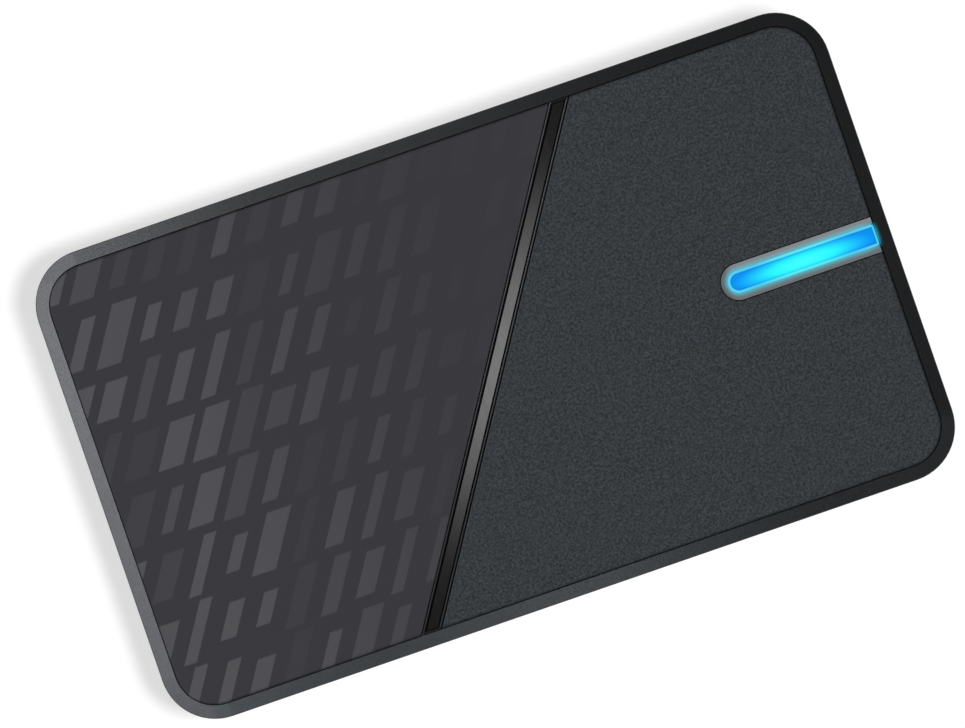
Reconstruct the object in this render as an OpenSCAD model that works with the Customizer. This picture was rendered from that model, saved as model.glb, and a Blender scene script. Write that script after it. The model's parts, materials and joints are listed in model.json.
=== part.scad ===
// Video capture box: a flat two-part housing with a split top face, a slanted strip and a light bar.
// X runs along the box, with the sockets at -X and the light bar at +X. Z is up from the desk.

/* [Case] */
// Length of the case
case_l = 112.6; // [106:0.1:125]
// Width of the case
case_w = 66.2; // [62:0.1:76]
// Height of the case, without the feet
case_h = 25.4; // [24:0.1:32]
// Corner radius seen from above
corner_r = 7.5; // [6.5:0.1:9]
// Thickness of the side walls
wall_t = 2; // [1.8:0.1:2.4]
// Thickness of the floor
floor_t = 2; // [1.6:0.1:2.6]
// Height of the lower case, up to the parting line
lower_h = 12.2; // [11:0.1:14]
// Rounding of the bottom edge
base_round = 2.5; // [1:0.1:3]

/* [Top face] */
// Width of the sloping rim round the top face
rim_w = 1.9; // [1.6:0.1:2.4]
// How far the rim slopes down to the side
rim_drop = 1.2; // [0.6:0.1:2]
// Thickness of the two top panels
panel_t = 1.2; // [1:0.1:1.8]
// Thickness of the deck that carries the panels
deck_t = 1.6; // [1.2:0.1:2.2]
// Seam round the panels
panel_gap = 0.1; // [0.05:0.05:0.3]
// Slant of the accent strip from the width axis
strip_angle = 32.5; // [24:0.1:38]
// Width of the accent strip
strip_w = 1.5; // [1.4:0.1:2.4]

/* [Light] */
// Length of the light bar
light_l = 20.9; // [16:0.1:23]
// Width of the light bar
light_w = 2.8; // [2.6:0.1:3.6]
// Width of the trim round the light bar
surround_w = 0.95; // [0.6:0.05:1.2]
// Number of light sources under the bar
led_count = 5; // [3:1:5]

/* [Sockets] */
// Width of a video socket
video_w = 15; // [14.6:0.1:15.4]
// Height of a video socket
video_h = 5.6; // [5.4:0.1:6]
// Depth of a video socket
video_depth = 11.5; // [10.5:0.1:12.5]
// Width of the USB-C socket
usb_w = 9; // [8.8:0.1:9.4]
// Height of the USB-C socket
usb_h = 3.3; // [3.2:0.1:3.6]
// Depth of the USB-C socket
usb_depth = 7.5; // [7:0.1:9]

/* [Board] */
// Height of the board posts
post_h = 5.4; // [5:0.1:6.2]
// Thickness of the board
board_t = 1.6; // [1.2:0.1:2]

/* [Cooling] */
// Length of the heat sink
sink_l = 36; // [30:0.5:38]
// Width of the heat sink
sink_w = 40; // [36:0.5:42]
// Number of fins
fin_count = 9; // [6:1:11]
// Number of vent slots in each of the two rows
vent_count = 7; // [3:1:9]

/* [Feet and screws] */
// Distance of feet and case screws from the sides
boss_inset = 8; // [7.8:0.1:8.6]
// Radius of a foot
foot_r = 4.5; // [4:0.1:4.8]
// How far a foot stands out under the case
foot_proud = 0.8; // [0.5:0.1:2]

/* [Hidden] */
$fn = 64;
// Overshoot of a cut past a face, and overlap of features that are one piece
cut = 1;
blend = 0.2;

// Small clearances between pieces
fit_gap = 0.1;
thread_gap = 0.05;

// Levels
foot_seat = 1;
z_base = foot_proud;
z_floor = z_base + floor_t;
z_board = z_floor + post_h;
z_board_top = z_board + board_t;
z_part = z_base + lower_h;
z_top = z_base + case_h;
z_deck_top = z_top - panel_t;
z_deck = z_deck_top - deck_t;

// Tongue and shadow line at the parting line
lip_t = 0.9;
lip_h = 1.2;
groove_d = 0.5;
groove_h = 0.4;
part_edge = 0.25;

// Rim and panels
rim_lead = 0.5;
rim_round = 0.25;
rim_slope = atan2(rim_drop, rim_w);
z_crest = z_top + rim_lead * tan(rim_slope);
panel_inset = rim_w + panel_gap;
panel_edge = 0.12;
rib_t = 1.2;
rib_h = 1.5;
rib_x = 26;
rib_y = 16;

// Channel of the accent strip
ridge_t = 0.24;
ridge_gap = 0.14;
ridge_drop = 0.03;
ridge_slope = 32;
strip_drop = 0.05;
strip_edge = 0.1;
ridge_x = strip_w / 2 + ridge_gap;
channel_half = ridge_x + ridge_t + ridge_gap;

// Locating pegs under the panels and the strip
peg_r = 1;
peg_tail = 0.8;
peg_side = 6;
peg_end = 16;
peg_strip = 6;
peg_y = case_w / 2 - peg_side;
peg_end_x = case_l / 2 - peg_end;
strip_peg_r = 0.6;
strip_peg_y = 24;

// Light bar
light_x1 = case_l / 2 - max(rim_w, wall_t) - panel_gap;
light_x0 = light_x1 - light_l;
light_drop = 0.25;
light_edge = 0.2;
light_flange = 1.2;
light_flange_t = 1;
surround_drop = 0.5;
shroud_t = 0.8;
led_size = [2.4, 2, 1.2];

// Case screws and the bosses that they go through
boss_r = 3.2;
boss_x = case_l / 2 - boss_inset;
boss_y = case_w / 2 - boss_inset;
web_t = 1;
web_drop = 2;
screw_r = 1.3;
screw_gap = 0.2;
head_r = 2.3;
head_h = 1.6;
head_gap = 0.2;
thread_l = 7;
z_head = z_base + foot_seat + head_h + head_gap;
foot_edge = 0.4;

// Board, its posts and its screws
board_gap = 0.8;
board_clear = 0.5;
plate_recess = 0.5;
plate_flange = 0.8;
plate_flange_t = 1;
plate_x1 = -case_l / 2 + wall_t + plate_flange_t;
board_x0 = plate_x1 + board_gap;
board_x1 = case_l / 2 - wall_t - board_gap;
board_w = case_w - 2 * (wall_t + board_gap);
notch = boss_inset + boss_r + board_clear;
post_r = 2.6;
post_gap = 6;
post_edge = 3.5;
post_x = boss_x - boss_r - post_gap;
post_y = board_w / 2 - post_edge;
board_screw_r = 1;
board_screw_l = 4;
board_head_r = 1.9;
board_head_h = 1.3;

// Tube between the board and the light bar
shroud_x0 = light_x0 - light_flange;
shroud_x1 = min(light_x1, board_x1) - board_clear;
shroud_w = light_w + 2 * light_flange;

// Rear plate and the stops that hold it
plate_edge = 1.5;
plate_rise = 2.2;
plate_corner = 1.6;
opening_edge = 0.35;
port_y = case_w / 2 - corner_r - plate_flange - plate_edge - video_w / 2;
plate_w = 2 * (port_y + video_w / 2 + plate_edge);
plate_z0 = z_board_top - plate_rise;
plate_z1 = z_board_top + video_h + plate_rise;
port_gap = 0.25;
stop_t = 1.2;
stop_w = 8;

// Sockets
mouth_set = 0.3;
mouth_x = -case_l / 2 + plate_recess + mouth_set;
shell_t = 0.35;
video_chamfer = [1.9, 2.3];
plug_wall = 3;
tongue_set = 1.2;
video_tongue = [11.6, 1.8];
usb_tongue = [6.7, 0.7];
video_pitch = 1;
video_contact_w = 0.45;
usb_pitch = 0.5;
usb_contact_w = 0.25;
contact_t = 0.1;
contact_set = 0.6;

// Processor, heat sink and the chips round them
sink_x = 4;
processor_size = [19, 19, 0.6];
lid_size = [15, 15, 1.2];
pad_size = [14, 14, 0.8];
sink_base_t = 2;
fin_t = 1.2;
sink_clear = 1.4;
sink_hole_inset = 3.2;
sink_screw_r = 1.1;
sink_head_r = 2;
sink_head_h = 1.3;
sink_head_gap = 1;
sink_tip = 1;
spacer_r = 2.2;
z_sink = z_board_top + processor_size.z + lid_size.z + pad_size.z;
z_sink_top = z_deck - rib_h - sink_clear;
sink_hole = [sink_l / 2 - sink_hole_inset, sink_w / 2 - sink_hole_inset];

can_gap = 2;
can_size = [17, 40, 3.2];
can_t = 0.3;
can_x = mouth_x + video_depth + can_gap + can_size.x / 2;
can_hole_r = 0.8;
can_hole_pitch = 5;
link_chip = [9, 9, 1.2];
link_y = 11;
pin_pitch = 0.65;
pin_w = 0.3;
pin_t = 0.15;
pin_reach = 1;
pin_count = 12;
memory_size = [10, 8, 1.1];
memory_inset = 5;
memory_y = sink_w / 2 - memory_inset;
side_x = (can_x + can_size.x / 2 + sink_x - sink_l / 2) / 2;
flash_size = [3.9, 4.9, 1.4];
flash_leg = [1, 0.4, 0.3];
flash_pitch = 1.27;
flash_y = 12;
crystal_size = [2.5, 3.2, 0.7];
crystal_rim = 0.25;
crystal_y = -10;

// Power parts beside the light
power_set = 1;
power_x = light_x0 + power_set;
power_pitch = 7;
power_y = 12;
coil_size = [6, 6, 3];
coil_corner = 1.2;
cap_r = 3;
cap_h = 5.6;
cap_base = [6.2, 6.2, 0.8];
small_cap = [0.8, 1.6, 0.8];
small_cap_count = 9;
small_cap_pitch = 3.2;
small_cap_gap = 2.2;
small_cap_y = sink_w / 2 + small_cap_gap;

// Vent slots in the floor
vent_w = 1.8;
vent_l = 13;
vent_pitch = 4.4;
vent_y = 10;

// Colours
case_colour = [0.17, 0.17, 0.18];
plain_colour = [0.25, 0.25, 0.27];
grain_colour = [0.2, 0.22, 0.23];
strip_colour = [0.08, 0.08, 0.09];
trim_colour = [0.52, 0.56, 0.58];
light_colour = [0.1, 0.85, 0.98];
rubber_colour = [0.07, 0.07, 0.07];
steel_colour = [0.75, 0.75, 0.76];
gold_colour = [0.85, 0.68, 0.3];
black_colour = [0.09, 0.09, 0.1];
board_colour = [0.04, 0.2, 0.14];
aluminium_colour = [0.62, 0.63, 0.65];
pad_colour = [0.62, 0.68, 0.75];
ferrite_colour = [0.22, 0.22, 0.24];
ceramic_colour = [0.62, 0.52, 0.4];
led_colour = [0.92, 0.92, 0.86];

FEET = [
  ["foot_front_left", 1, 1],
  ["foot_front_right", 1, -1],
  ["foot_rear_left", -1, 1],
  ["foot_rear_right", -1, -1],
];
COILS = ["inductor_1", "inductor_2", "inductor_3"];
MEMORY = [["memory_chip_1", 1], ["memory_chip_2", -1]];
VIDEO = [["video_in", 1], ["video_out", -1]];

// X of the strip's centre line at a given Y
function strip_x(y) = y * tan(strip_angle);

// Corner points of a video socket's outline, pulled in by t
function video_outline(t) =
  let (w = video_w / 2 - t, c = video_chamfer, slope = norm(c))
  let (rise = c.y + t * (slope - c.y) / c.x, foot = video_w / 2 - c.x - t * (slope - c.x) / c.y)
  [[-w, video_h - t], [w, video_h - t], [w, rise], [foot, t], [-foot, t], [-w, rise]];

module rounded_rect(l, w, r) {
  square([l - 2 * r, w], center = true);
  square([l, w - 2 * r], center = true);
  for (x = [-1, 1], y = [-1, 1])
    translate([x * (l / 2 - r), y * (w / 2 - r)]) circle(r);
}

// Outline with two round ends
module slot(l, w) {
  square([l - w, w], center = true);
  for (s = [-1, 1]) translate([s * (l - w) / 2, 0]) circle(w / 2);
}

// The case's outline, pulled in by an inset, between two levels
module inset_block(inset, z0, z1) {
  translate([0, 0, z0])
    linear_extrude(z1 - z0)
      rounded_rect(case_l - 2 * inset, case_w - 2 * inset, corner_r - inset);
}

// Rounded block with its edge swept from a profile: x runs out from the corner's centre, y is the level
module swept_rect(l, w, r, z0, z1) {
  c = [l / 2 - r, w / 2 - r];
  translate([-c.x, -c.y, z0]) cube([2 * c.x, 2 * c.y, z1 - z0]);
  for (i = [0 : 3]) {
    x = i % 2 == 0 ? c.x : c.y;
    y = i % 2 == 0 ? c.y : c.x;
    rotate(90 * i) translate([x, y, 0]) {
      rotate_extrude(angle = 90) children();
      rotate([90, 0, 0]) linear_extrude(2 * y) children();
    }
  }
}

// The case's outline, pulled in by an inset, with a swept edge
module swept_block(inset, z0, z1) {
  swept_rect(case_l - 2 * inset, case_w - 2 * inset, corner_r - inset, z0, z1) children();
}

// Copies in the four corners of what is drawn in the +X +Y one
module four_corners() {
  for (x = [0, 1], y = [0, 1])
    mirror([x, 0, 0]) mirror([0, y, 0]) children();
}

// Extrudes along X, with the outline's x as Y and its y as Z
module along_x(x0, x1) {
  translate([x0, 0, 0]) rotate([90, 0, 90]) linear_extrude(x1 - x0) children();
}

// Bar along the strip's slant, from its outline across the strip
module along_strip() {
  rotate([0, 0, -strip_angle])
    translate([0, case_w, 0]) rotate([90, 0, 0]) linear_extrude(2 * case_w) children();
}

// Closed outline from the points of its right half, listed upwards
module mirrored_outline(right) {
  last = len(right) - 1;
  left = [for (i = [last : -1 : 0]) [-right[i].x, right[i].y]];
  polygon(concat(right, left));
}

// Outline with a round end at x0 and a square end at x1
module pill(x0, x1, w) {
  translate([x0 + w / 2, 0]) circle(w / 2);
  translate([x0 + w / 2, -w / 2]) square([x1 - x0 - w / 2, w]);
}

// Pill that widens by grow on each side from z0 to z1, about the same round end
module pill_taper(x0, x1, w, z0, z1, grow) {
  xc = x0 + w / 2;
  along_x(xc, x1)
    polygon([[-w / 2, z0], [w / 2, z0], [w / 2 + grow, z1], [-w / 2 - grow, z1]]);
  translate([xc, 0, 0])
    rotate(90)
      rotate_extrude(angle = 180)
        polygon([[0, z0], [w / 2, z0], [w / 2 + grow, z1], [0, z1]]);
}

module block(size) {
  translate([-size.x / 2, -size.y / 2, 0]) cube(size);
}

// Screw with its shank up from z = 0 and its head below
module screw(r, l, big_r, big_h) {
  drive_w = big_r * 0.35;
  drive_l = big_r * 1.3;
  drive_d = big_h * 0.55;
  cylinder(r = r, h = l);
  difference() {
    translate([0, 0, -big_h]) cylinder(r = big_r, h = big_h);
    for (a = [0, 90])
      rotate(a)
        translate([-drive_l / 2, -drive_w / 2, -big_h - cut]) cube([drive_l, drive_w, drive_d + cut]);
  }
}

// Outer edge of the upper case: shadow line at the bottom, sloping rim with a rounded edge at the top
module upper_profile() {
  z_edge = z_top - rim_drop;
  tangent = rim_round * tan((90 - rim_slope) / 2);
  polygon([
    [0, z_part],
    [corner_r - groove_d, z_part],
    [corner_r - groove_d, z_part + groove_h],
    [corner_r - part_edge, z_part + groove_h],
    [corner_r, z_part + groove_h + part_edge],
    [corner_r, z_edge - tangent],
    [corner_r - tangent * cos(rim_slope), z_edge + tangent * sin(rim_slope)],
    [corner_r - rim_w - rim_lead, z_crest],
    [0, z_crest],
  ]);
  translate([corner_r - rim_round, z_edge - tangent]) circle(rim_round);
}

// Outer edge of the lower case, rounded at the bottom and softened at the parting line
module lower_profile() {
  polygon([
    [0, z_base],
    [corner_r - base_round, z_base],
    [corner_r - base_round, z_base + base_round],
    [corner_r, z_base + base_round],
    [corner_r, z_part - part_edge],
    [corner_r - part_edge, z_part],
    [0, z_part],
  ]);
  translate([corner_r - base_round, z_base + base_round])
    intersection() {
      circle(base_round);
      translate([0, -base_round]) square(base_round);
    }
}

// Edge of the panels, with a small chamfer at the top
module panel_profile() {
  r = corner_r - panel_inset;
  polygon([
    [0, z_deck_top],
    [r, z_deck_top],
    [r, z_top - panel_edge],
    [r - panel_edge, z_top],
    [0, z_top],
  ]);
}

// Outline of the rear plate, grown by a clearance
module plate_outline(grow) {
  translate([0, (plate_z0 + plate_z1) / 2])
    rounded_rect(plate_w + 2 * grow, plate_z1 - plate_z0 + 2 * grow, plate_corner + grow);
}

// Way through the rear wall, with a chamfer at its mouth
module plate_opening() {
  r = plate_corner;
  e = opening_edge;
  along_x(-case_l / 2 - cut, -case_l / 2 + wall_t) plate_outline(0);
  translate([-case_l / 2, 0, (plate_z0 + plate_z1) / 2])
    rotate([90, 0, 90])
      swept_rect(plate_w, plate_z1 - plate_z0, r, -e, e)
        polygon([[0, -e], [r + 2 * e, -e], [r, e], [0, e]]);
}

// Pegs of the left panel for side -1; the right panel's are the same turned half round
module panel_pegs(side, r, z0, z1) {
  rotate(side < 0 ? 0 : 180)
    for (y = [-peg_y, peg_y], x = [-peg_end_x, strip_x(y) - peg_strip])
      translate([x, y, z0]) cylinder(r = r, h = z1 - z0);
}

module strip_pegs(r, z0, z1) {
  rotate([0, 0, -strip_angle])
    for (i = [-1 : 1]) translate([0, i * strip_peg_y, z0]) cylinder(r = r, h = z1 - z0);
}

module lower_case() {
  color(case_colour)
    difference() {
      union() {
        difference() {
          swept_block(0, z_base, z_part) lower_profile();
          inset_block(wall_t, z_floor, z_part + cut);
        }
        difference() {
          inset_block(wall_t - lip_t, z_part - blend, z_part + lip_h);
          inset_block(wall_t, z_part - cut, z_part + lip_h + cut);
        }
        four_corners() lower_boss();
        four_corners()
          translate([post_x, post_y, z_floor - blend]) cylinder(r = post_r, h = post_h + blend);
        for (y = [-1, 1])
          translate([plate_x1 + fit_gap, y * port_y - stop_w / 2, z_floor - blend])
            cube([stop_t, stop_w, post_h - board_clear + blend]);
      }
      four_corners() lower_holes();
      plate_opening();
      for (i = [0 : vent_count - 1], y = [-1, 1])
        translate([sink_x + (i - (vent_count - 1) / 2) * vent_pitch, y * vent_y, z_base - cut])
          linear_extrude(floor_t + 2 * cut) rotate(90) slot(vent_l, vent_w);
    }
}

// Corner tube that the case screw goes through, with webs to both walls
module lower_boss() {
  web_h = lower_h - floor_t - web_drop;
  translate([boss_x, boss_y, z_floor - blend]) cylinder(r = boss_r, h = z_part - z_floor + blend);
  translate([boss_x, boss_y - web_t / 2, z_floor - blend])
    cube([boss_inset - wall_t + blend, web_t, web_h]);
  translate([boss_x - web_t / 2, boss_y, z_floor - blend])
    cube([web_t, boss_inset - wall_t + blend, web_h]);
}

module lower_holes() {
  translate([boss_x, boss_y, z_base - cut]) {
    cylinder(r = screw_r + screw_gap, h = lower_h + 2 * cut);
    cylinder(r = head_r + head_gap, h = z_head - z_base + cut);
    cylinder(r = foot_r + fit_gap, h = foot_seat + cut);
  }
  translate([post_x, post_y, z_floor]) cylinder(r = board_screw_r + thread_gap, h = post_h + cut);
}

module upper_case() {
  color(case_colour)
    difference() {
      union() {
        difference() {
          swept_block(0, z_part, z_top) upper_profile();
          inset_block(rim_w, z_deck_top, z_crest + cut);
          inset_block(wall_t, z_part - cut, z_deck);
          inset_block(wall_t - lip_t - fit_gap, z_part - cut, z_part + lip_h + fit_gap);
        }
        four_corners() upper_boss();
        deck_ribs();
        strip_ridge();
        translate([plate_x1 + fit_gap, -stop_w / 2, plate_z1])
          cube([stop_t, stop_w, z_deck - plate_z1 + blend]);
      }
      four_corners()
        translate([boss_x, boss_y, z_part - cut])
          cylinder(r = screw_r + thread_gap, h = thread_l + 2 * cut);
      for (side = [-1, 1]) panel_pegs(side, peg_r + fit_gap, z_deck - cut, z_top);
      strip_pegs(strip_peg_r + fit_gap, z_deck - cut, z_deck_top + cut);
      translate([0, 0, z_deck - cut])
        linear_extrude(deck_t + 2 * cut)
          pill(light_x0 - fit_gap, light_x1 + panel_gap, light_w + 2 * fit_gap);
      plate_opening();
    }
}

// Corner post for the case screw's thread, with webs to both walls
module upper_boss() {
  z_web = z_part + lip_h + cut;
  translate([boss_x, boss_y, z_part]) cylinder(r = boss_r, h = z_deck - z_part + blend);
  translate([boss_x, boss_y - web_t / 2, z_web])
    cube([boss_inset - wall_t + blend, web_t, z_deck - z_web + blend]);
  translate([boss_x - web_t / 2, boss_y, z_web])
    cube([web_t, boss_inset - wall_t + blend, z_deck - z_web + blend]);
}

// Stiffening ribs under the deck
module deck_ribs() {
  for (s = [-1, 1]) {
    translate([-post_x, s * rib_y - rib_t / 2, z_deck - rib_h]) cube([2 * post_x, rib_t, rib_h + blend]);
    translate([s * rib_x - rib_t / 2, -rib_y, z_deck - rib_h]) cube([rib_t, 2 * rib_y, rib_h + blend]);
  }
}

// Thin ridge all round the accent strip, with a roof-shaped top along its long sides
module strip_ridge() {
  crest_x = ridge_x + ridge_t / 2;
  fall = tan(ridge_slope);
  z_ridge = z_top - ridge_drop;
  z_eave = z_ridge - ridge_t / 2 * fall;
  difference() {
    intersection() {
      inset_block(panel_inset, z_deck_top - blend, z_top);
      along_strip()
        mirrored_outline([
          [ridge_x + ridge_t, z_deck_top - cut],
          [ridge_x + ridge_t, z_eave],
          [crest_x, z_ridge],
        ]);
    }
    intersection() {
      inset_block(panel_inset + ridge_t, z_deck_top, z_top + cut);
      along_strip()
        mirrored_outline([
          [ridge_x, z_deck_top - cut],
          [ridge_x, z_eave],
          [crest_x + cut, z_ridge + cut * fall],
        ]);
    }
  }
}

// Top face on one side of the strip's channel
module panel_half(side) {
  intersection() {
    swept_block(panel_inset, z_deck_top, z_top) panel_profile();
    rotate(side < 0 ? 0 : 180)
      along_strip()
        polygon([
          [-case_l, z_deck_top - cut],
          [-channel_half, z_deck_top - cut],
          [-channel_half, z_top - panel_edge],
          [-channel_half - panel_edge - cut, z_top + cut],
          [-case_l, z_top + cut],
        ]);
  }
  panel_pegs(side, peg_r, z_deck - peg_tail, z_deck_top + blend);
}

module left_panel() {
  color(plain_colour) panel_half(-1);
}

module right_panel() {
  w = light_w + 2 * (fit_gap + surround_w + panel_gap);
  x0 = light_x0 + light_w / 2 - w / 2;
  color(grain_colour)
    difference() {
      panel_half(1);
      translate([0, 0, z_deck_top - cut]) linear_extrude(panel_t + 2 * cut) pill(x0, case_l / 2, w);
      pill_taper(x0, case_l / 2, w, z_top - panel_edge, z_top + panel_edge, 2 * panel_edge);
    }
}

module accent_strip() {
  z1 = z_top - strip_drop;
  w = strip_w / 2;
  color(strip_colour) {
    intersection() {
      inset_block(panel_inset + ridge_t + ridge_gap, z_deck, z_top);
      along_strip() mirrored_outline([[w, z_deck_top], [w, z1 - strip_edge], [w - strip_edge, z1]]);
    }
    strip_pegs(strip_peg_r, z_deck - peg_tail, z_deck_top + blend);
  }
}

// Trim in the shape of a U, sloping down to the light bar
module light_surround() {
  inner = light_w + 2 * fit_gap;
  outer = inner + 2 * surround_w;
  x0 = light_x0 - fit_gap;
  color(trim_colour)
    difference() {
      translate([0, 0, z_deck_top]) linear_extrude(panel_t) pill(x0 - surround_w, light_x1, outer);
      translate([0, 0, z_deck_top - cut])
        linear_extrude(panel_t + 2 * cut) pill(x0, light_x1 + cut, inner);
      pill_taper(x0, light_x1 + cut, inner, z_top - surround_drop, z_top, surround_w - panel_edge);
    }
}

// Diffuser with a flange under the deck and a chamfered top
module light_bar() {
  z1 = z_top - light_drop;
  bevel = light_edge * sqrt(2);
  color(light_colour) {
    translate([0, 0, z_deck - light_flange_t])
      linear_extrude(light_flange_t)
        pill(light_x0 - light_flange, light_x1, light_w + 2 * light_flange);
    translate([0, 0, z_deck - blend])
      linear_extrude(z1 - light_edge - z_deck + blend) pill(light_x0, light_x1, light_w);
    difference() {
      pill_taper(light_x0, light_x1, light_w, z1 - light_edge, z1, -light_edge);
      translate([light_x1, 0, z1]) rotate([0, 45, 0]) cube([bevel, 2 * light_w, bevel], center = true);
    }
  }
}

// Light-tight tube from the board up to the light bar
module light_shroud() {
  h = z_deck - light_flange_t - z_board_top;
  color(black_colour)
    translate([0, 0, z_board_top])
      difference() {
        linear_extrude(h) pill(shroud_x0, shroud_x1, shroud_w);
        translate([0, 0, -cut])
          linear_extrude(h + 2 * cut)
            pill(shroud_x0 + shroud_t, shroud_x1 - shroud_t, shroud_w - 2 * shroud_t);
      }
}

module indicator_leds() {
  pitch = (shroud_x1 - shroud_x0 - shroud_w) / (led_count - 1);
  color(led_colour)
    for (i = [0 : led_count - 1])
      translate([shroud_x0 + shroud_w / 2 + i * pitch, 0, z_board_top]) block(led_size);
}

module main_board() {
  mid = (board_x0 + board_x1) / 2;
  color(board_colour)
    translate([0, 0, z_board])
      linear_extrude(board_t)
        difference() {
          translate([mid, 0]) square([board_x1 - board_x0, board_w], center = true);
          for (x = [-1, 1], y = [-1, 1]) {
            translate([x * case_l / 2, y * case_w / 2]) square(2 * notch, center = true);
            translate([x * post_x, y * post_y]) circle(board_screw_r + screw_gap);
          }
          sink_corners() circle(sink_screw_r + thread_gap);
        }
}

// Places of the two heat sink screws
module sink_corners() {
  for (s = [-1, 1])
    translate([sink_x + s * sink_hole.x, s * sink_hole.y, 0]) children();
}

module video_shell(side) {
  color(steel_colour)
    translate([0, side * port_y, z_board_top])
      along_x(mouth_x, mouth_x + video_depth)
        difference() {
          polygon(video_outline(0));
          polygon(video_outline(shell_t));
        }
}

// Plug of plastic at the back of the shell, with the tongue that carries the contacts
module video_insert(side) {
  back = mouth_x + video_depth;
  z_tongue = (video_h - video_tongue.y) / 2;
  color(black_colour)
    translate([0, side * port_y, z_board_top]) {
      along_x(back - plug_wall, back) polygon(video_outline(shell_t));
      along_x(mouth_x + tongue_set, back - plug_wall + blend)
        translate([-video_tongue.x / 2, z_tongue]) square(video_tongue);
    }
}

module video_contacts(side) {
  color(gold_colour)
    translate([0, side * port_y, z_board_top + video_h / 2])
      contact_rows([10, 9], video_pitch, video_contact_w, video_tongue.y, video_depth - plug_wall);
}

// Contacts on the upper and lower face of a tongue
module contact_rows(counts, pitch, w, tongue_t, end) {
  x0 = mouth_x + tongue_set + contact_set;
  levels = [tongue_t / 2, -tongue_t / 2 - contact_t];
  for (row = [0, 1], i = [0 : counts[row] - 1])
    translate([x0, (i - (counts[row] - 1) / 2) * pitch - w / 2, levels[row]])
      cube([mouth_x + end - x0, w, contact_t]);
}

module usb_outline(t) {
  translate([0, usb_h / 2]) slot(usb_w - 2 * t, usb_h - 2 * t);
}

module usb_c_shell() {
  color(steel_colour)
    translate([0, 0, z_board_top])
      along_x(mouth_x, mouth_x + usb_depth)
        difference() {
          usb_outline(0);
          usb_outline(shell_t);
        }
}

module usb_c_insert() {
  back = mouth_x + usb_depth;
  color(black_colour)
    translate([0, 0, z_board_top]) {
      along_x(back - plug_wall, back) usb_outline(shell_t);
      along_x(mouth_x + tongue_set, back - plug_wall + blend)
        translate([-usb_tongue.x / 2, (usb_h - usb_tongue.y) / 2]) square(usb_tongue);
    }
}

module usb_c_contacts() {
  color(gold_colour)
    translate([0, 0, z_board_top + usb_h / 2])
      contact_rows([12, 12], usb_pitch, usb_contact_w, usb_tongue.y, usb_depth - plug_wall);
}

// Insert that closes the rear opening round the sockets, with a flange behind the wall
module rear_plate() {
  x0 = -case_l / 2;
  color(case_colour)
    difference() {
      union() {
        along_x(x0 + plate_recess, x0 + wall_t + blend) plate_outline(-fit_gap);
        along_x(x0 + wall_t, plate_x1) plate_outline(plate_flange);
      }
      for (v = VIDEO)
        translate([0, v[1] * port_y, z_board_top])
          along_x(x0, plate_x1 + cut) polygon(video_outline(-port_gap));
      translate([0, 0, z_board_top]) along_x(x0, plate_x1 + cut) usb_outline(-port_gap);
    }
}

module video_processor() {
  color(black_colour)
    translate([sink_x, 0, z_board_top]) {
      block(processor_size);
      translate([0, 0, processor_size.z - blend]) block(lid_size + [0, 0, blend]);
    }
}

module thermal_pad() {
  color(pad_colour) translate([sink_x, 0, z_sink - pad_size.z]) block(pad_size);
}

module heat_sink() {
  pitch = (sink_w - fin_t) / (fin_count - 1);
  color(aluminium_colour)
    difference() {
      translate([sink_x, 0, z_sink]) {
        block([sink_l, sink_w, sink_base_t]);
        for (i = [0 : fin_count - 1])
          translate([-sink_l / 2, i * pitch - sink_w / 2, sink_base_t - blend])
            cube([sink_l, fin_t, z_sink_top - z_sink - sink_base_t + blend]);
      }
      sink_corners() {
        translate([0, 0, z_sink - cut]) cylinder(r = sink_screw_r + screw_gap, h = sink_base_t + 2 * cut);
        translate([0, 0, z_sink + sink_base_t]) cylinder(r = sink_head_r + sink_head_gap, h = z_sink_top);
      }
    }
}

module heat_sink_spacers() {
  color(steel_colour)
    sink_corners()
      translate([0, 0, z_board_top])
        difference() {
          cylinder(r = spacer_r, h = z_sink - z_board_top);
          translate([0, 0, -cut]) cylinder(r = sink_screw_r + screw_gap, h = z_sink);
        }
}

module heat_sink_screws() {
  z1 = z_sink + sink_base_t;
  color(steel_colour)
    sink_corners()
      translate([0, 0, z1])
        rotate([180, 0, 0]) screw(sink_screw_r, z1 - z_board + sink_tip, sink_head_r, sink_head_h);
}

// Square chip with a row of bent pins on each side
module pinned_chip(size, pins) {
  half = size.x / 2;
  mid = size.z / 2;
  color(black_colour)
    translate([0, 0, pin_t]) block(size - [0, 0, pin_t]);
  color(steel_colour)
    for (a = [0 : 90 : 270], i = [0 : pins - 1])
      rotate(a)
        translate([0, (i - (pins - 1) / 2) * pin_pitch + pin_w / 2, 0])
          rotate([90, 0, 0])
            linear_extrude(pin_w)
              polygon([
                [half - blend, mid],
                [half + pin_reach / 2 - pin_t, mid],
                [half + pin_reach / 2 - pin_t, 0],
                [half + pin_reach, 0],
                [half + pin_reach, pin_t],
                [half + pin_reach / 2, pin_t],
                [half + pin_reach / 2, mid + pin_t],
                [half - blend, mid + pin_t],
              ]);
}

module receiver_chip() {
  translate([can_x, link_y, z_board_top]) pinned_chip(link_chip, pin_count);
}

module transmitter_chip() {
  translate([can_x, -link_y, z_board_top]) pinned_chip(link_chip, pin_count);
}

// Open-bottomed metal lid over both link chips
module shield_can() {
  holes = [floor(can_size.x / can_hole_pitch), floor(can_size.y / can_hole_pitch)];
  first = [(1 - holes.x) / 2, (1 - holes.y) / 2] * can_hole_pitch;
  color(steel_colour)
    translate([can_x, 0, z_board_top])
      difference() {
        block(can_size);
        translate([0, 0, -cut]) block(can_size - [2 * can_t, 2 * can_t, can_t - cut]);
        for (i = [0 : holes.x - 1], j = [0 : holes.y - 1])
          translate([first.x + i * can_hole_pitch, first.y + j * can_hole_pitch, 0])
            cylinder(r = can_hole_r, h = can_size.z + cut);
      }
}

module memory_chip(side) {
  color(black_colour) translate([sink_x, side * memory_y, z_board_top]) block(memory_size);
}

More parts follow.
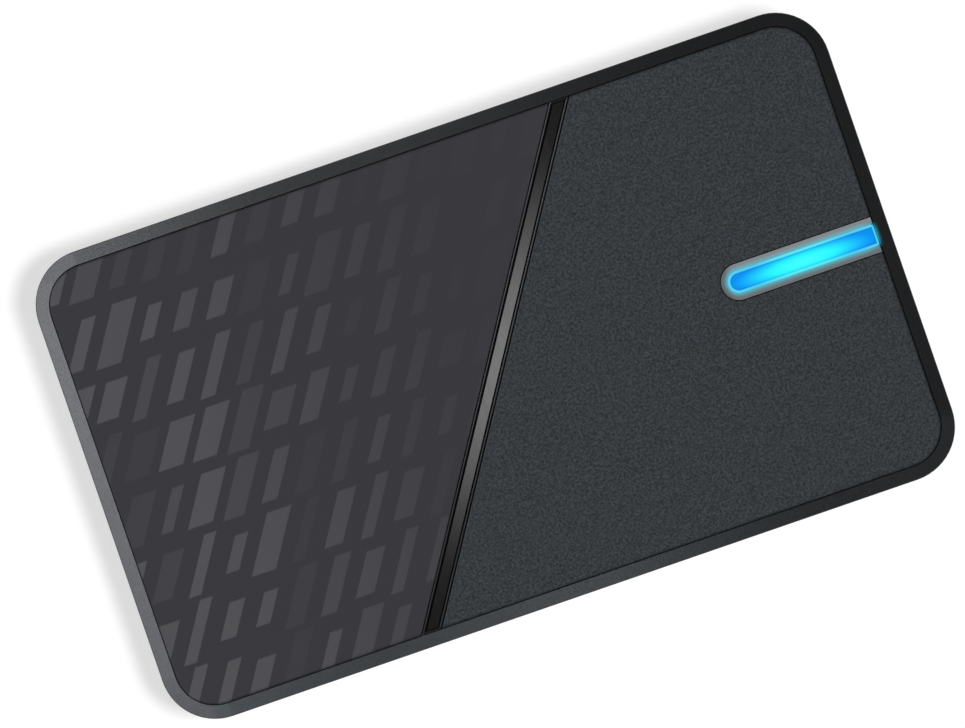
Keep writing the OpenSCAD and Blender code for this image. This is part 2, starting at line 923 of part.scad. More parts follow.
module flash_chip() {
  translate([side_x, flash_y, z_board_top]) {
    color(black_colour) translate([0, 0, pin_t]) block(flash_size - [0, 0, pin_t]);
    color(steel_colour)
      for (s = [-1, 1], i = [0 : 3])
        translate([s * (flash_size.x / 2 + flash_leg.x / 2 - blend), (i - 1.5) * flash_pitch, 0])
          block(flash_leg);
  }
}

module clock_crystal() {
  color(steel_colour)
    translate([side_x, crystal_y, z_board_top]) {
      block([crystal_size.x, crystal_size.y, crystal_size.z / 2]);
      block(crystal_size - [2 * crystal_rim, 2 * crystal_rim, 0]);
    }
}

module inductor(index) {
  color(ferrite_colour)
    translate([power_x + index * power_pitch, -power_y, z_board_top])
      linear_extrude(coil_size.z) rounded_rect(coil_size.x, coil_size.y, coil_corner);
}

module bulk_capacitors() {
  for (i = [0 : 2])
    translate([power_x + i * power_pitch, power_y, z_board_top]) {
      color(black_colour) block(cap_base);
      color(aluminium_colour)
        translate([0, 0, cap_base.z - blend]) cylinder(r = cap_r, h = cap_h - cap_base.z + blend);
    }
}

module chip_capacitors() {
  color(ceramic_colour)
    for (i = [0 : small_cap_count - 1], s = [-1, 1])
      translate([sink_x + (i - (small_cap_count - 1) / 2) * small_cap_pitch, s * small_cap_y, z_board_top])
        block(small_cap);
}

module board_screws() {
  color(steel_colour)
    four_corners()
      translate([post_x, post_y, z_board_top])
        rotate([180, 0, 0]) screw(board_screw_r, board_t + board_screw_l, board_head_r, board_head_h);
}

module case_screws() {
  color(steel_colour)
    four_corners()
      translate([boss_x, boss_y, z_head]) screw(screw_r, z_part - z_head + thread_l, head_r, head_h);
}

// Rubber pad let into the floor over a case screw
module foot(x, y) {
  color(rubber_colour)
    translate([x * boss_x, y * boss_y, 0])
      rotate_extrude()
        polygon([
          [0, 0],
          [foot_r - foot_edge, 0],
          [foot_r, foot_edge],
          [foot_r, foot_proud + foot_seat],
          [0, foot_proud + foot_seat],
        ]);
}

lower_case();
upper_case();
rear_plate();
left_panel();
right_panel();
accent_strip();
light_surround();
light_bar();
light_shroud();
indicator_leds();
main_board();
for (v = VIDEO) {
  video_shell(v[1]);
  video_insert(v[1]);
  video_contacts(v[1]);
}
usb_c_shell();
usb_c_insert();
usb_c_contacts();
video_processor();
thermal_pad();
heat_sink();
heat_sink_spacers();
heat_sink_screws();
receiver_chip();
transmitter_chip();
shield_can();
flash_chip();
clock_crystal();
for (m = MEMORY) memory_chip(m[1]);
for (i = [0 : len(COILS) - 1]) inductor(i);
bulk_capacitors();
chip_capacitors();
board_screws();
case_screws();
for (f = FEET) foot(f[1], f[2]);
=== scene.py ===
# Video capture box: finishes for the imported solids, studio light and camera.
import json
import math

import bpy
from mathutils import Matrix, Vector


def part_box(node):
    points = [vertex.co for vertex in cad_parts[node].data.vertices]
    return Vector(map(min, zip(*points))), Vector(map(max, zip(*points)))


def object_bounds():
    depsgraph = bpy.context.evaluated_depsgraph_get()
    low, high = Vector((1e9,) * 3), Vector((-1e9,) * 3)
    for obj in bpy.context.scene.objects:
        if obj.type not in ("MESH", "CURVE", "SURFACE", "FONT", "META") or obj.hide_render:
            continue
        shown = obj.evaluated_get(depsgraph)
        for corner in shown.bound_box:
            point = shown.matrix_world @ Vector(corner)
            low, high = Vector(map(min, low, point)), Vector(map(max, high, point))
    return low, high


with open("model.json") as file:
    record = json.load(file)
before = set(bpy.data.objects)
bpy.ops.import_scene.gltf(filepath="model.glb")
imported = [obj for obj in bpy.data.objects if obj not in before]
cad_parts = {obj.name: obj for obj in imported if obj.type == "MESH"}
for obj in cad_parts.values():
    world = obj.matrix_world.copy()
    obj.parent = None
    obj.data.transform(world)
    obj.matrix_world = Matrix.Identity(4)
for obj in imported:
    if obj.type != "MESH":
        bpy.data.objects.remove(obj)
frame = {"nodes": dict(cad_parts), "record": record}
cad_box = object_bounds()

MM = 0.001
TOP = cad_box[1][2]
TOP_MM = TOP / MM

# Camera: straight down on the top face, turned as in the picture.
LENS = 200.0
SENSOR = 36.0
CLIP_START = 0.01
VIEW_W = 129.85 * MM
VIEW_CENTRE = (-1.56 * MM, 0.79 * MM)
VIEW_TURN = math.radians(-19.03)

# Tints of the lamps, and the brightness of the world.
WHITE = (1.0, 1.0, 1.0)
COOL = (0.90, 0.925, 1.0)
COOLER = (0.80, 0.91, 1.0)
WORLD_LEVEL = 0.11

# The key, and the faded soft box that the strip mirrors: place and size in m, and brightness.
KEY_PLACE = (0.084, -0.046, 0.776)
KEY_SIZE = (0.065, 0.065)
KEY_LEVEL = 312.0
TOP_BOX_PLACE = (0.0, 0.0024, 0.776)
TOP_BOX_SIZE = (0.122, 0.122)
TOP_BOX_LEVEL = 5.45

# Low soft boxes round the part, mirrored in the rim: reach, height and size in m.
RIM_REACH = 0.36
RIM_HEIGHT = 0.165
RIM_BOX_H = 0.1

# Each of those boxes: angles from and to in degrees, brightness and tint.
RIM_LIGHT = (
    (6, 40, 0.08, COOL),
    (40, 74, 0.13, COOL),
    (74, 87, 0.08, COOL),
    (87, 95, 0.92, COOL),
    (99, 120, 4.6, COOL),
    (120, 138, 4.8, COOL),
    (138, 156, 5.75, COOL),
    (156, 172, 5.6, COOL),
    (172, 180, 5.9, COOL),
    (180, 188, 4.15, COOL),
    (188, 206, 3.7, COOL),
    (206, 224, 3.45, COOL),
    (224, 242, 3.15, COOL),
    (242, 261, 2.7, COOLER),
    (265, 269, 1.9, COOLER),
    (269, 273, 3.1, COOLER),
    (277, 300, 0.33, COOLER),
    (300, 325, 0.36, COOLER),
    (325, 350, 0.38, COOLER),
    (350, 366, 0.13, COOL),
)

# Floor: a round sweep in m, its tone, and its glow at two distances in mm.
FLOOR_MIDDLE_R = 0.02
FLOOR_R = 2.4
FLOOR_EDGE_R = 3.0
FLOOR_EDGE_H = 0.4
FLOOR_TURNS = 64
FLOOR_STEPS = 12
FLOOR_TONE = 0.45
FLOOR_GLOW = 0.665
FLOOR_GLOW_FAR = 0.9
GLOW_FROM = 100.0
GLOW_TO = 600.0

# The part of a noise's range that most of its values lie in, alone and for the mean of two noises.
NOISE_RANGE = (0.3, 0.7)
BLEND_RANGE = (0.35, 0.65)

# Slant of the strip across the top face in degrees, and half the face's width in mm.
SLANT = 32.5
FACE_HALF_W = 31.0
FACE_FADE = 0.1

# Ridges along the strip: where they end and where they dull, in mm, and their roughness.
RIDGE_END = (1.6, 1.8)
RIDGE_ALONG = (-26.0, 14.0)
RIDGE_ROUGH = (0.6, 0.38)

# Depths below the top in mm: the ledges under the panels, and the end of the light bar's painted
# glow.
LEDGE_DEPTH = (1.1, 1.0)
HALO_DEPTH = (1.6, 1.3)

# How far up a level face looks at least.
LEVEL_FACE = (0.9, 0.99)

# Painted shade along the outer edge of the two top panels, in mm, and how dark it is; it fades in
# from the left.
PANEL_CORNER = 5.5
PANEL_EDGE = 0.46
PANEL_EDGE_PAINTED_SHADE = 0.56
PANEL_EDGE_SHADE_TONE = 0.004
PANEL_EDGE_START = (0.8, 4.3)

# Specular level of both top panels.
PANEL_SPECULAR = 0.4

# Print on the plain panel, in mm: rows of slanted dashes that fade out to the right.
ROW_PITCH = 8.3
ROW_SHIFT = 0.37
DASH_PITCH = 4.9
DASH_EDGE = 0.012
DASH_HALF_W = (0.17, 0.36)
DASH_HALF_L = (0.24, 0.47)
FADE_FROM = -50.0
FADE_TO = 4.0
FADE_LEAST = 0.06
FAINTEST = 0.15
FULL_FROM = 0.6

# Sandy grain: size of fine and broad grains in mm, their shares, and the spread of their tones.
FINE_GRAIN = 0.32
BROAD_GRAIN = 1.1
FINE_SHARE = 0.87
BROAD_SHARE = 0.13
GRAIN_RANGE = (0.27, 0.73)
GRAIN_CURVE = 1.25

# Lit part of the light bar, in mm, with its brightest place off the middle line.
LIGHT_L = 20.9
LIGHT_W = 2.8
LIGHT_OFF = 0.25
LIGHT_ACROSS = 0.5

# Painted highlight along the light bar's edge, and a painted shade line inside it, in mm from its
# outline.
EDGE_END = (0.15, 0.28)
LINE_START = (0.2, 0.3)
LINE_END = (0.3, 0.55)
LINE_PAINTED_SHADE = 0.26

# Painted glow of the light bar on the rim past its end: reach and half width in mm, least share.
END_GLOW_REACH = 0.9
END_GLOW_HALF_W = (0.4, 1.8)
END_GLOW_LEAST = 0.1

# Painted shade on the trim, in mm and as shares: near side, tip, beside the bar, and the bar's
# painted glow on it.
TRIM_NEAR = (-1.6, 1.6)
TRIM_NEAR_PAINTED_SHADE = 0.55
TRIM_TIP = (0.6, 2.4)
TRIM_TIP_PAINTED_SHADE = 0.75
TRIM_PAINTED_SHADE_REACH = 0.9
TRIM_PAINTED_GLOW_REACH = 1.05
TRIM_DIM_L = 1.8
TRIM_DIM = 0.5

# Broad mottling of plain finishes as a multiple of the grain; lines and stains of metal in mm.
MOTTLE = 40
METAL_LINE = 0.12
METAL_STAIN = 3.0
METAL_RELIEF = 0.003


class Finish:
    """A procedural material, with short calls for its nodes."""

    def __init__(self, name):
        self.material = bpy.data.materials.new(name)
        self.material.use_nodes = True
        self.tree = self.material.node_tree
        self.shader = self.tree.nodes["Principled BSDF"]
        self.place = self.node("ShaderNodeTexCoord", out="Object")

    def join(self, socket, value):
        """Links an output to a socket, or sets a plain value on it."""
        if isinstance(value, bpy.types.NodeSocket):
            self.tree.links.new(value, socket)
        else:
            socket.default_value = value

    def node(self, kind, sockets=None, out=0, **settings):
        """Adds a node and gives back one of its outputs."""
        made = self.tree.nodes.new(kind)
        for key, value in settings.items():
            setattr(made, key, value)
        for key, value in (sockets or {}).items():
            self.join(made.inputs[key], value)
        return made.outputs[out]

    def split(self, kind, value):
        """Adds a node that takes a value apart and gives back all its outputs."""
        made = self.tree.nodes.new(kind)
        self.join(made.inputs[0], value)
        return made.outputs

    def shade(self, sockets):
        """Sets the shader's own sockets."""
        for key, value in sockets.items():
            self.join(self.shader.inputs[key], value)
        return self.material

    def calc(self, operation, a, b=0.0):
        """One step of arithmetic."""
        return self.node("ShaderNodeMath", {0: a, 1: b}, operation=operation)

    def times(self, a, b):
        """The product of two values."""
        return self.calc("MULTIPLY", a, b)

    def absolute(self, value):
        """A value without its sign."""
        return self.calc("ABSOLUTE", value)

    def length(self, a, b):
        """The length of a line that runs a along one axis and b along another."""
        return self.calc("SQRT", self.calc("ADD", self.times(a, a), self.times(b, b)))

    def axes(self):
        """The place on the part along x, y and z, in mm."""
        scaled = self.node(
            "ShaderNodeVectorMath", {0: self.place, "Scale": 1 / MM}, operation="SCALE"
        )
        return self.split("ShaderNodeSeparateXYZ", scaled)

    def span(self, value, low, high, to_low=0.0, to_high=1.0):
        """A smooth step of a value from one range to another."""
        sockets = {
            "Value": value,
            "From Min": low,
            "From Max": high,
            "To Min": to_low,
            "To Max": to_high,
        }
        return self.node("ShaderNodeMapRange", sockets, interpolation_type="SMOOTHSTEP")

    def noise(self, size, detail=3.0, stretch=(1.0, 1.0, 1.0)):
        """Noise with grains of about a size in mm."""
        place = self.node("ShaderNodeMapping", {"Vector": self.place, "Scale": stretch})
        return self.node(
            "ShaderNodeTexNoise",
            {"Vector": place, "Scale": 1 / (size * MM), "Detail": detail},
        )

    def vary(self, noise, low, high):
        """A value that a noise moves between two limits."""
        return self.span(noise, *NOISE_RANGE, low, high)

    def blend(self, fine, broad):
        """The mean of a fine and a broad noise, spread over 0 to 1."""
        return self.span(self.times(self.calc("ADD", fine, broad), 0.5), *BLEND_RANGE)

    def mix(self, factor, first, second):
        """A colour between two others."""
        return self.node(
            "ShaderNodeMix", {0: factor, 6: first, 7: second}, out=2, data_type="RGBA"
        )

    def ramp(self, value, *stops):
        """Colours along a value, given as places and colours."""
        made = self.tree.nodes.new("ShaderNodeValToRGB")
        points = made.color_ramp.elements
        while len(points) < len(stops):
            points.new(0.5)
        for point, (place, colour) in zip(points, stops):
            point.position = place
            point.color = colour
        self.join(made.inputs[0], value)
        return made.outputs[0]

    def facing_up(self):
        """How far a face looks up: 1 for a level one, 0 for an upright one."""
        normal = self.node("ShaderNodeNewGeometry", out="True Normal")
        return self.split("ShaderNodeSeparateXYZ", normal)[2]

    def bump(self, height, depth, strength=1.0):
        """A relief of a depth in mm."""
        return self.node(
            "ShaderNodeBump", {"Height": height, "Distance": depth * MM, "Strength": strength}
        )


def tone(red, green=None, blue=None):
    """A linear colour, or a grey from one value."""
    return (red, red if green is None else green, red if blue is None else blue, 1.0)


BLACK = tone(0.0)


def ridge_dullness(f):
    """Roughness of the ridges along the strip, duller towards the near side; 0 elsewhere."""
    x, y, _ = f.axes()
    slant = math.radians(SLANT)
    across = f.calc("SUBTRACT", f.times(x, math.cos(slant)), f.times(y, math.sin(slant)))
    beside = f.span(f.absolute(across), *RIDGE_END, 1.0, 0.0)
    on_face = f.span(f.absolute(y), FACE_HALF_W, FACE_HALF_W + FACE_FADE, 1.0, 0.0)
    return f.times(f.times(beside, on_face), f.span(y, *RIDGE_ALONG, *RIDGE_ROUGH))


def ledge_dullness(f):
    """Full roughness on level faces under the panels, 0 elsewhere."""
    _, _, z = f.axes()
    low, high = [TOP_MM - depth for depth in LEDGE_DEPTH]
    return f.times(f.span(f.facing_up(), *LEVEL_FACE), f.span(z, low, high, 1.0, 0.0))


def case_plastic():
    """Satin black plastic with a fine blasted grain, with the light bar's glow painted on the rim
    past its end.
    """
    f = Finish("case_plastic")
    fine = f.noise(0.2, detail=2.0)
    dark = tone(0.0045, 0.005, 0.0054)
    light = tone(0.006, 0.0066, 0.007)
    satin = f.vary(fine, 0.16, 0.275)
    dull = f.calc("MAXIMUM", ledge_dullness(f), ridge_dullness(f))
    return f.shade({
        "Base Color": f.mix(f.blend(fine, f.noise(9.0)), dark, light),
        "Roughness": f.calc("MAXIMUM", satin, dull),
        "Normal": f.bump(fine, 0.013),
        # Painted glow: the light bar's light on the rim, drawn as emission of the case.
        "Emission Color": painted_end_glow(f),
        "Emission Strength": 1.0,
    })


def painted_edge_shade(f):
    """Painted shade on the outer edge of the top panels. The left side, in the light, gets none.
    """
    x, y, _ = f.axes()
    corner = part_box("right_panel")[1]
    past = []
    for place, reach in ((x, corner[0]), (y, corner[1])):
        beyond = f.calc("SUBTRACT", f.absolute(place), reach / MM - PANEL_CORNER)
        past.append(f.calc("MAXIMUM", beyond, 0.0))
    inside = f.calc("SUBTRACT", PANEL_CORNER, f.length(*past))
    # Painted shade, darkest at the panel's border.
    dark = f.span(inside, 0.0, PANEL_EDGE, PANEL_EDGE_PAINTED_SHADE, 0.0)
    start, full = [-corner[0] / MM + off for off in PANEL_EDGE_START]
    return f.times(dark, f.span(x, start, full))


def dashes(f):
    """Rows of slanted dashes of chance strength and size: 1 on a strong one, 0 on the ground."""
    x, y, _ = f.axes()
    row = f.calc("DIVIDE", y, ROW_PITCH)
    row_number = f.calc("FLOOR", row)
    slanted = f.calc("SUBTRACT", x, f.times(y, math.tan(math.radians(SLANT))))
    dash = f.calc("ADD", f.calc("DIVIDE", slanted, DASH_PITCH), f.times(row_number, ROW_SHIFT))
    cell = f.node("ShaderNodeCombineXYZ", {0: f.calc("FLOOR", dash), 1: row_number})
    chance = f.node(
        "ShaderNodeTexWhiteNoise", {"Vector": cell}, out="Color", noise_dimensions="2D"
    )
    strength, reach, width = f.split("ShaderNodeSeparateColor", chance)
    across = f.absolute(f.calc("SUBTRACT", f.calc("FRACT", dash), 0.5))
    along = f.absolute(f.calc("SUBTRACT", f.calc("FRACT", row), 0.5))
    wide = f.calc("SUBTRACT", across, f.span(width, 0.0, 1.0, *DASH_HALF_W))
    long = f.calc("SUBTRACT", along, f.span(reach, 0.0, 1.0, *DASH_HALF_L))
    inside = f.span(f.calc("MAXIMUM", wide, long), -DASH_EDGE, DASH_EDGE, 1.0, 0.0)
    fade = f.span(x, FADE_FROM, FADE_TO, 1.0, FADE_LEAST)
    return f.times(inside, f.times(fade, f.span(strength, 0.0, FULL_FROM, FAINTEST, 1.0)))


def plain_panel():
    """Smooth panel with a print of dashes, a little lighter and glossier than the ground."""
    f = Finish("plain_panel")
    mark = dashes(f)
    fine = f.noise(0.12)
    ground = f.mix(fine, tone(0.0384, 0.0368, 0.0436), tone(0.0432, 0.0417, 0.0494))
    printed = f.mix(mark, ground, tone(0.094, 0.093, 0.102))
    return f.shade({
        # Painted edge shade laid over the printed panel.
        "Base Color": f.mix(painted_edge_shade(f), printed, tone(PANEL_EDGE_SHADE_TONE)),
        "Roughness": f.span(mark, 0.0, 1.0, 0.52, 0.46),
        "Specular IOR Level": PANEL_SPECULAR,
        "Normal": f.bump(fine, 0.002),
    })


def grain_panel():
    """Panel moulded with a fine sandy grain."""
    f = Finish("grain_panel")
    fine = f.noise(FINE_GRAIN, detail=4.0)
    broad = f.noise(BROAD_GRAIN)
    height = f.calc("ADD", f.times(fine, FINE_SHARE), f.times(broad, BROAD_SHARE))
    shade = f.calc("POWER", f.span(height, *GRAIN_RANGE), GRAIN_CURVE)
    grains = f.mix(shade, tone(0.0170, 0.0219, 0.0256), tone(0.0614, 0.0694, 0.0768))
    return f.shade({
        # Painted edge shade laid over the grain.
        "Base Color": f.mix(painted_edge_shade(f), grains, tone(PANEL_EDGE_SHADE_TONE)),
        "Roughness": f.vary(fine, 0.54, 0.66),
        "Specular IOR Level": PANEL_SPECULAR,
        "Normal": f.bump(height, 0.04, 0.7),
    })


def gloss_strip():
    """Polished dark bar with faint drawn lines."""
    f = Finish("gloss_strip")
    lines = f.noise(0.3, stretch=(1.0, 0.03, 1.0))
    return f.shade({
        "Base Color": f.mix(lines, tone(0.005), tone(0.008)),
        "Roughness": f.vary(lines, 0.08, 0.1),
        "Normal": f.bump(lines, 0.0002),
    })


def bar_edges(f):
    """How far a place lies outside the light bar's sides and past its square end, in mm."""
    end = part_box("light_bar")[1][0] / MM
    half = LIGHT_W / 2
    x, y, _ = f.axes()
    off = f.calc("MINIMUM", f.calc("SUBTRACT", x, end - LIGHT_L + half), 0.0)
    return f.calc("SUBTRACT", f.length(off, y), half), f.calc("SUBTRACT", x, end)


def nearness(f, reach):
    """1 next to the light bar, fading to 0 over a reach in mm."""
    side, end = [f.calc("MAXIMUM", edge, 0.0) for edge in bar_edges(f)]
    near = f.span(f.length(side, end), 0.0, reach, 1.0, 0.0)
    return f.times(near, near)


def painted_halo(f, reach, colour):
    """Painted glow of the light bar on the top face round it."""
    _, _, z = f.axes()
    low, high = [TOP_MM - depth for depth in HALO_DEPTH]
    return f.mix(f.times(nearness(f, reach), f.span(z, low, high)), BLACK, colour)


def painted_end_glow(f):
    """Painted glow of the light bar on the rim past its square end, strongest in the middle."""
    _, y, _ = f.axes()
    middle = f.span(f.absolute(y), *END_GLOW_HALF_W, 1.0, END_GLOW_LEAST)
    return f.mix(middle, BLACK, painted_halo(f, END_GLOW_REACH, tone(0.0, 0.25, 0.34)))


def light_trim():
    """Satin grey trim with painted shade at its near side, its tip and beside the bar, and the
    light bar's glow painted on it.
    """
    f = Finish("light_trim")
    fine = f.noise(0.15)
    grey = f.mix(fine, tone(0.25, 0.27, 0.28), tone(0.29, 0.31, 0.32))
    x, y, _ = f.axes()
    start, end = [corner[0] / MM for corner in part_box("light_surround")]
    # Painted shade: darker towards the near side and the round tip.
    near = f.span(y, *TRIM_NEAR, 1.0, 0.0)
    tip = f.span(x, *[start + off for off in TRIM_TIP], 1.0, 0.0)
    shade = f.calc("MAXIMUM", f.times(near, TRIM_NEAR_PAINTED_SHADE), f.times(tip, TRIM_TIP_PAINTED_SHADE))
    shaded = f.mix(shade, grey, tone(0.12, 0.125, 0.125))
    # The painted glow dims towards the square end.
    dim = f.span(x, end - TRIM_DIM_L, end, 0.0, TRIM_DIM)
    # Painted glow of the light bar on the trim round it.
    tint = painted_halo(f, TRIM_PAINTED_GLOW_REACH, tone(0.0, 0.34, 0.43))
    return f.shade({
        # Painted shade beside the bar.
        "Base Color": f.mix(nearness(f, TRIM_PAINTED_SHADE_REACH), shaded, tone(0.11, 0.12, 0.125)),
        "Roughness": f.vary(fine, 0.4, 0.48),
        "Normal": f.bump(fine, 0.002),
        "Emission Color": f.mix(dim, tint, BLACK),
        "Emission Strength": 1.0,
    })


def light_diffuser():
    """Milky bar lit from below: bright in the middle, bluer at its ends, with a painted highlight
    along its edges and a painted shade line inside them.
    """
    f = Finish("light_diffuser")
    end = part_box("light_bar")[1][0] / MM
    x, y, _ = f.axes()
    off = f.calc("DIVIDE", f.calc("SUBTRACT", x, end - LIGHT_L / 2), LIGHT_L / 2)
    side = f.times(f.calc("ADD", y, LIGHT_OFF), LIGHT_ACROSS)
    body = f.ramp(
        f.length(off, side),
        (0.0, tone(0.058, 0.98, 0.99)),
        (0.38, tone(0.029, 0.93, 0.98)),
        (0.48, tone(0.022, 0.85, 0.97)),
        (0.58, tone(0.015, 0.70, 0.97)),
        (0.71, tone(0.011, 0.515, 0.965)),
        (0.80, tone(0.0065, 0.413, 0.956)),
        (0.89, tone(0.0035, 0.32, 0.93)),
        (0.97, tone(0.0024, 0.27, 0.835)),
    )
    # Colours of the painted highlight along the edges.
    rim = f.ramp(
        f.absolute(off),
        (0.25, tone(0.115, 0.78, 0.86)),
        (0.65, tone(0.09, 0.58, 0.81)),
        (0.95, tone(0.1, 0.64, 0.88)),
    )
    inside = f.times(f.calc("MAXIMUM", *bar_edges(f)), -1.0)
    # Painted shade line just inside the edge, and painted highlight on the edge itself.
    line = f.times(f.span(inside, *LINE_START), f.span(inside, *LINE_END, LINE_PAINTED_SHADE, 0.0))
    edge = f.span(inside, *EDGE_END, 1.0, 0.0)
    shaded = f.mix(line, body, tone(0.002, 0.10, 0.50))
    cloud = f.noise(1.5)
    return f.shade({
        "Base Color": f.mix(cloud, tone(0.001, 0.02, 0.024), tone(0.0015, 0.025, 0.03)),
        "Roughness": f.vary(cloud, 0.5, 0.6),
        "Specular IOR Level": 0.05,
        "Emission Color": f.mix(edge, shaded, rim),
        "Emission Strength": 1.0,
    })


def board_green():
    """Solder mask over fine copper lines."""
    f = Finish("board_green")
    bricks = {
        "Vector": f.place,
        "Scale": 0.5 / MM,
        "Mortar Size": 0.06,
        "Color1": BLACK,
        "Color2": tone(0.25),
        "Mortar": tone(1.0),
    }
    lines = f.node("ShaderNodeTexBrick", bricks)
    return f.shade({
        "Base Color": f.mix(lines, tone(0.006, 0.05, 0.022), tone(0.012, 0.11, 0.045)),
        "Roughness": f.vary(f.noise(0.25), 0.28, 0.38),
        "Normal": f.bump(lines, 0.02),
    })


def speckled(name, dark, light, grain, rough, depth):
    """A surface whose colour, gloss and relief vary with one fine grain."""
    f = Finish(name)
    fine = f.noise(grain)
    return f.shade({
        "Base Color": f.mix(f.blend(fine, f.noise(grain * MOTTLE)), dark, light),
        "Roughness": f.vary(fine, *rough),
        "Normal": f.bump(fine, depth),
    })


def drawn_metal(name, dark, light, rough, squeeze):
    """Bare metal with fine lines along x, where the noise is squeezed."""
    f = Finish(name)
    lines = f.noise(METAL_LINE, stretch=(squeeze, 1.0, 1.0))
    return f.shade({
        "Base Color": f.mix(f.vary(f.noise(METAL_STAIN), 0.0, 1.0), dark, light),
        "Metallic": 1.0,
        "Roughness": f.vary(lines, *rough),
        "Normal": f.bump(lines, METAL_RELIEF),
    })


# Finishes that have a function of their own.
OWN_FINISH = {
    "case_plastic": case_plastic,
    "plain_panel": plain_panel,
    "grain_panel": grain_panel,
    "gloss_strip": gloss_strip,
    "light_trim": light_trim,
    "light_diffuser": light_diffuser,
    "board_green": board_green,
}

# Speckled finishes: dark and light tone, grain in mm, roughness from and to, relief in mm.
SPECKLED = {
    "led_white": (tone(0.62, 0.64, 0.6), tone(0.72, 0.73, 0.66), 0.3, (0.3, 0.4), 0.002),
    "black_plastic": (tone(0.008), tone(0.013), 0.12, (0.38, 0.5), 0.003),
    "chip_plastic": (tone(0.012), tone(0.019), 0.1, (0.55, 0.68), 0.004),
    "pad_grey": (tone(0.18, 0.19, 0.2), tone(0.24, 0.25, 0.26), 0.2, (0.75, 0.85), 0.01),
    "ferrite": (tone(0.03, 0.029, 0.028), tone(0.05, 0.048, 0.046), 0.08, (0.5, 0.65), 0.006),
    "ceramic": (tone(0.36, 0.26, 0.16), tone(0.46, 0.34, 0.22), 0.1, (0.4, 0.5), 0.002),
    "rubber": (tone(0.010), tone(0.016), 0.3, (0.72, 0.86), 0.015),
}

# Bare metals: dark and light tone, roughness from and to, squeeze along x.
METALS = {
    "steel": (tone(0.50, 0.50, 0.49), tone(0.60, 0.60, 0.59), (0.22, 0.36), 0.06),
    "gold": (tone(0.72, 0.47, 0.15), tone(0.82, 0.56, 0.20), (0.18, 0.28), 0.2),
    "aluminium": (tone(0.60, 0.61, 0.62), tone(0.70, 0.71, 0.72), (0.3, 0.44), 0.05),
}


def finish(slot):
    """The material of a slot, by its name."""
    if slot in SPECKLED:
        return speckled(slot, *SPECKLED[slot])
    if slot in METALS:
        return drawn_metal(slot, *METALS[slot])
    return OWN_FINISH[slot]()


def dress(frame):
    """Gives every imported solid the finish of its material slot."""
    made = {}
    for part in frame["record"]["subparts"]:
        slot = part["material_slot"]
        if slot not in made:
            made[slot] = finish(slot)
        data = frame["nodes"][part["node"]].data
        data.materials.clear()
        data.materials.append(made[slot])


def floor_finish():
    """White paper that keeps the shadow and shows as white to the eye and in reflections."""
    f = Finish("floor_paper")
    x, y, _ = f.axes()
    glow = f.span(f.length(x, y), GLOW_FROM, GLOW_TO, FLOOR_GLOW, FLOOR_GLOW_FAR)
    path = f.tree.nodes.new("ShaderNodeLightPath").outputs
    seen = f.calc("MAXIMUM", path["Is Camera Ray"], path["Is Glossy Ray"])
    seen = f.calc("MAXIMUM", seen, path["Is Transmission Ray"])
    return f.shade({
        "Base Color": tone(FLOOR_TONE),
        "Roughness": 1.0,
        "Specular IOR Level": 0.0,
        "Emission Color": tone(1.0),
        "Emission Strength": f.times(seen, glow),
    })


def floor_profile():
    """Radius and height of each ring of the floor, flat and then bent up."""
    rings = [(FLOOR_MIDDLE_R, 0.0), (FLOOR_R, 0.0)]
    for step in range(1, FLOOR_STEPS + 1):
        bend = math.pi / 2 * step / FLOOR_STEPS
        rings.append((
            FLOOR_R + (FLOOR_EDGE_R - FLOOR_R) * math.sin(bend),
            FLOOR_EDGE_H * (1 - math.cos(bend)),
        ))
    return rings


def floor():
    """A round sweep of paper that turns up far behind the part."""
    turns = FLOOR_TURNS
    points = [(0.0, 0.0, 0.0)]
    faces = []
    for ring, (r, z) in enumerate(floor_profile()):
        for turn in range(turns):
            a = 2 * math.pi * turn / turns
            here = 1 + ring * turns + turn
            beside = 1 + ring * turns + (turn + 1) % turns
            points.append((r * math.cos(a), r * math.sin(a), z))
            if ring == 0:
                faces.append((0, here, beside))
            else:
                faces.append((here - turns, here, beside, beside - turns))
    mesh = bpy.data.meshes.new("floor")
    mesh.from_pydata(points, [], faces)
    mesh.shade_smooth()
    mesh.materials.append(floor_finish())
    obj = bpy.data.objects.new("floor", mesh)
    bpy.context.scene.collection.objects.link(obj)


def softbox(name, place, size, level, colour=WHITE, faded=False, matt=True, gloss=True):
    """A soft box that looks at the top face, for matt light, reflections or both.

    Its level is its brightness.
    """
    lamp = bpy.data.lights.new(name, "AREA")
    lamp.color = colour
    lamp.shape = "RECTANGLE"
    lamp.size, lamp.size_y = size
    lamp.energy = level * math.pi * size[0] * size[1]
    if faded:
        fade_out(lamp)
    obj = bpy.data.objects.new(name, lamp)
    obj.location = place
    aim = Vector((0.0, 0.0, TOP)) - Vector(place)
    obj.rotation_euler = aim.to_track_quat("-Z", "Y").to_euler()
    obj.visible_camera = False
    obj.visible_diffuse = matt
    obj.visible_glossy = gloss
    bpy.context.scene.collection.objects.link(obj)


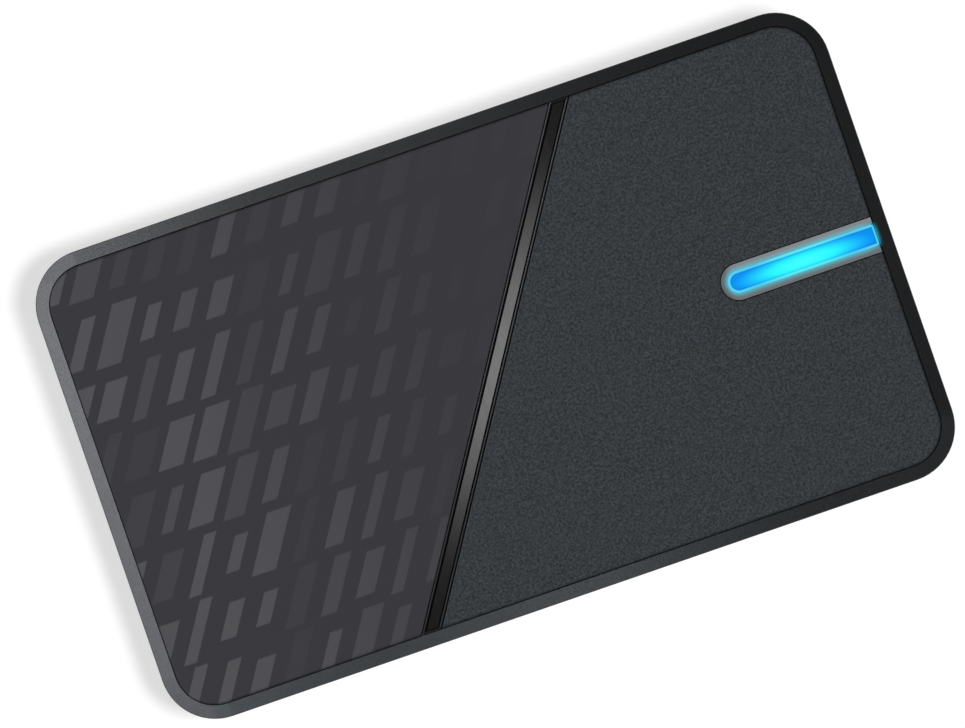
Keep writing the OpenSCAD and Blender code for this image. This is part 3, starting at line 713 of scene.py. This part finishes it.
def fade_out(lamp):
    """Lets a soft box fall off from its middle to its edge."""
    lamp.use_nodes = True
    nodes = lamp.node_tree.nodes
    links = lamp.node_tree.links
    place = nodes.new("ShaderNodeNewGeometry").outputs["Parametric"]
    middle = nodes.new("ShaderNodeVectorMath")
    middle.operation = "DISTANCE"
    middle.inputs[1].default_value = (0.5, 0.5, 0.0)
    links.new(place, middle.inputs[0])
    fall = nodes.new("ShaderNodeMapRange")
    fall.interpolation_type = "SMOOTHSTEP"
    for key, value in (("From Min", 0.0), ("From Max", 0.5), ("To Min", 1.0), ("To Max", 0.0)):
        fall.inputs[key].default_value = value
    links.new(middle.outputs["Value"], fall.inputs["Value"])
    links.new(fall.outputs[0], nodes["Emission"].inputs["Strength"])


def rim_box(start, end, level, colour):
    """A low soft box between two angles round the part, seen only in reflections."""
    middle = math.radians((start + end) / 2)
    width = 2 * RIM_REACH * math.tan(math.radians(end - start) / 2)
    place = (RIM_REACH * math.cos(middle), RIM_REACH * math.sin(middle), RIM_HEIGHT)
    softbox(f"rim_box_{start}", place, (width, RIM_BOX_H), level, colour, matt=False)


def light():
    """A key from overhead right, a box for the strip, a ring of boxes for the rim, a dim room."""
    softbox("key_box", KEY_PLACE, KEY_SIZE, KEY_LEVEL, gloss=False)
    softbox("top_box", TOP_BOX_PLACE, TOP_BOX_SIZE, TOP_BOX_LEVEL, faded=True)
    for sector in RIM_LIGHT:
        rim_box(*sector)
    world = bpy.data.worlds.new("room")
    world.use_nodes = True
    back = world.node_tree.nodes["Background"]
    back.inputs["Color"].default_value = tone(1.0)
    back.inputs["Strength"].default_value = WORLD_LEVEL
    bpy.context.scene.world = world


def camera():
    """A long lens over the top face, as far away as the picture's width needs."""
    data = bpy.data.cameras.new("camera")
    data.sensor_width = SENSOR
    data.lens = LENS
    data.clip_start = CLIP_START
    obj = bpy.data.objects.new("camera", data)
    obj.location = (*VIEW_CENTRE, TOP + VIEW_W * LENS / SENSOR)
    obj.rotation_euler = (0.0, 0.0, VIEW_TURN)
    bpy.context.scene.collection.objects.link(obj)
    bpy.context.scene.camera = obj


camera()
floor()
light()
dress(frame)
bpy.context.scene.view_settings.view_transform = "Standard"
